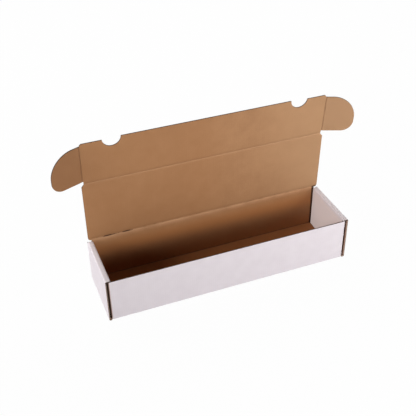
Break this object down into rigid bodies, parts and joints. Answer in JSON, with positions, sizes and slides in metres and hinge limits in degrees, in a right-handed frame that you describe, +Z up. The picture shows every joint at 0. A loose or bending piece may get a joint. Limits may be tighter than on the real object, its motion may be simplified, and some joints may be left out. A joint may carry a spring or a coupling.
{
  "type": "corrugated card storage box",
  "caption": "Long lidded corrugated board box for trading cards, with rolled-over double ends, a tuck-down front flap with thumb notches and side ears that lock into corner slits.",
  "frame": {"origin": "middle of the base's underside, on the table", "axes": "+X along the length of the box, +Y towards the back wall that carries the lid, +Z up"},
  "size_m": [0.4676, 0.1012, 0.2455],
  "materials": {
    "white_board": "matt white liner",
    "kraft_board": "matt brown kraft liner",
    "pressed_board": "matt pressed kraft"
  },
  "bodies": {
    "tray": {"base_panel": "kraft_board", "front_wall": "white_board", "back_wall": "kraft_board", "front_dust_flap_left": "kraft_board", "front_dust_flap_right": "kraft_board", "back_dust_flap_left": "kraft_board", "back_dust_flap_right": "kraft_board", "outer_end_wall_left": "white_board", "outer_end_wall_right": "white_board", "rolled_strip_left": "white_board", "rolled_strip_right": "white_board", "inner_end_wall_left": "white_board", "inner_end_wall_right": "white_board", "lid_crease": "pressed_board"},
    "lid": {"lid_panel": "kraft_board", "flap_crease": "pressed_board"},
    "flap": {"front_flap": "kraft_board", "ear_crease_left": "pressed_board", "ear_crease_right": "pressed_board"},
    "left_ear": {"ear_left": "kraft_board"},
    "right_ear": {"ear_right": "kraft_board"}
  },
  "joints": [
    {"name": "lid_hinge", "type": "hinge", "parent": "tray", "child": "lid", "pos_m": [0, 0.0498, 0.0742], "axis": [-1, 0, 0], "range_deg": [-87.8, 112]},
    {"name": "flap_hinge", "type": "hinge", "parent": "lid", "child": "flap", "pos_m": [0, 0.0459, 0.17573], "axis": [-1, 0, 0], "range_deg": [-86.2, 3.8]},
    {"name": "ear_hinge_left", "type": "hinge", "parent": "flap", "child": "left_ear", "pos_m": [-0.1893, 0.0459, 0.17573], "axis": [0, -0.1045, 0.9945], "range_deg": [-19, 71]},
    {"name": "ear_hinge_right", "type": "hinge", "parent": "flap", "child": "right_ear", "pos_m": [0.1893, 0.0459, 0.17573], "axis": [0, 0.1045, -0.9945], "range_deg": [-19, 71]}
  ]
}
